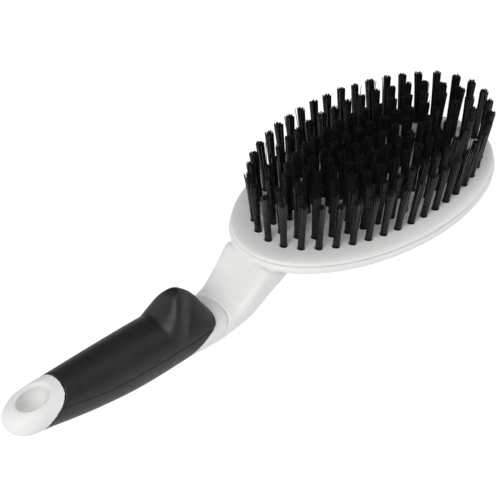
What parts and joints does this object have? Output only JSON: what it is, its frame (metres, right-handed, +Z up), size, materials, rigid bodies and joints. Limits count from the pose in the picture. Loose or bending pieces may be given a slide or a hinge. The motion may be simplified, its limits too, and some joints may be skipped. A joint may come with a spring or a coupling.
{
  "type": "pet grooming bristle brush",
  "caption": "Oval pet bristle brush: white plate full of upright black bristle tufts on a domed head, swan neck and a handle with a black soft grip, thumb rest and hanging hole.",
  "frame": {"origin": "centre of the flat land on the back of the head, on the surface that the brush lies on", "axes": "+X along the brush from the hanging hole to the tip of the head, +Y across the head, +Z up, the side that the bristles point to"},
  "size_m": [0.2384, 0.0732, 0.0487],
  "materials": {
    "white_plastic": "moulded white plastic, satin gloss, very slightly warm",
    "soft_grip": "black overmoulded soft-touch rubber, fine matt texture",
    "bristle": "black nylon filaments in tight tufts, slight sheen along the strands"
  },
  "bodies": {
    "root": {"bristle_plate": "white_plastic", "head_shell": "white_plastic", "handle_core": "white_plastic", "grip_sleeve": "soft_grip", "tufts_1_01": "bristle", "tufts_1_02": "bristle", "tufts_1_03": "bristle", "tufts_1_04": "bristle", "tufts_1_05": "bristle", "tufts_1_06": "bristle", "tufts_1_07": "bristle", "tufts_1_08": "bristle", "tufts_1_09": "bristle", "tufts_1_10": "bristle", "tufts_1_11": "bristle", "tufts_1_12": "bristle", "tufts_1_13": "bristle", "tufts_1_14": "bristle", "tufts_1_15": "bristle", "tufts_1_16": "bristle", "tufts_1_17": "bristle", "tufts_1_18": "bristle", "tufts_1_19": "bristle", "tufts_1_20": "bristle", "tufts_1_21": "bristle", "tufts_1_22": "bristle", "tufts_1_23": "bristle", "tufts_1_24": "bristle", "tufts_1_25": "bristle", "tufts_1_26": "bristle", "tufts_1_27": "bristle", "tufts_1_28": "bristle", "tufts_1_29": "bristle", "tufts_1_30": "bristle", "tufts_1_31": "bristle", "tufts_1_32": "bristle", "tufts_1_33": "bristle", "tufts_1_34": "bristle", "tufts_1_35": "bristle", "tufts_1_36": "bristle", "tufts_1_37": "bristle", "tufts_1_38": "bristle", "tufts_1_39": "bristle", "tufts_1_40": "bristle", "tufts_2_01": "bristle", "tufts_2_02": "bristle", "tufts_2_03": "bristle", "tufts_2_04": "bristle", "tufts_2_05": "bristle", "tufts_2_06": "bristle", "tufts_3_01": "bristle", "tufts_3_02": "bristle", "tufts_3_03": "bristle", "tufts_3_04": "bristle", "tufts_3_05": "bristle", "tufts_4_01": "bristle", "tufts_4_02": "bristle", "tufts_4_03": "bristle", "tufts_4_04": "bristle", "tufts_middle": "bristle"}
  },
  "joints": []
}
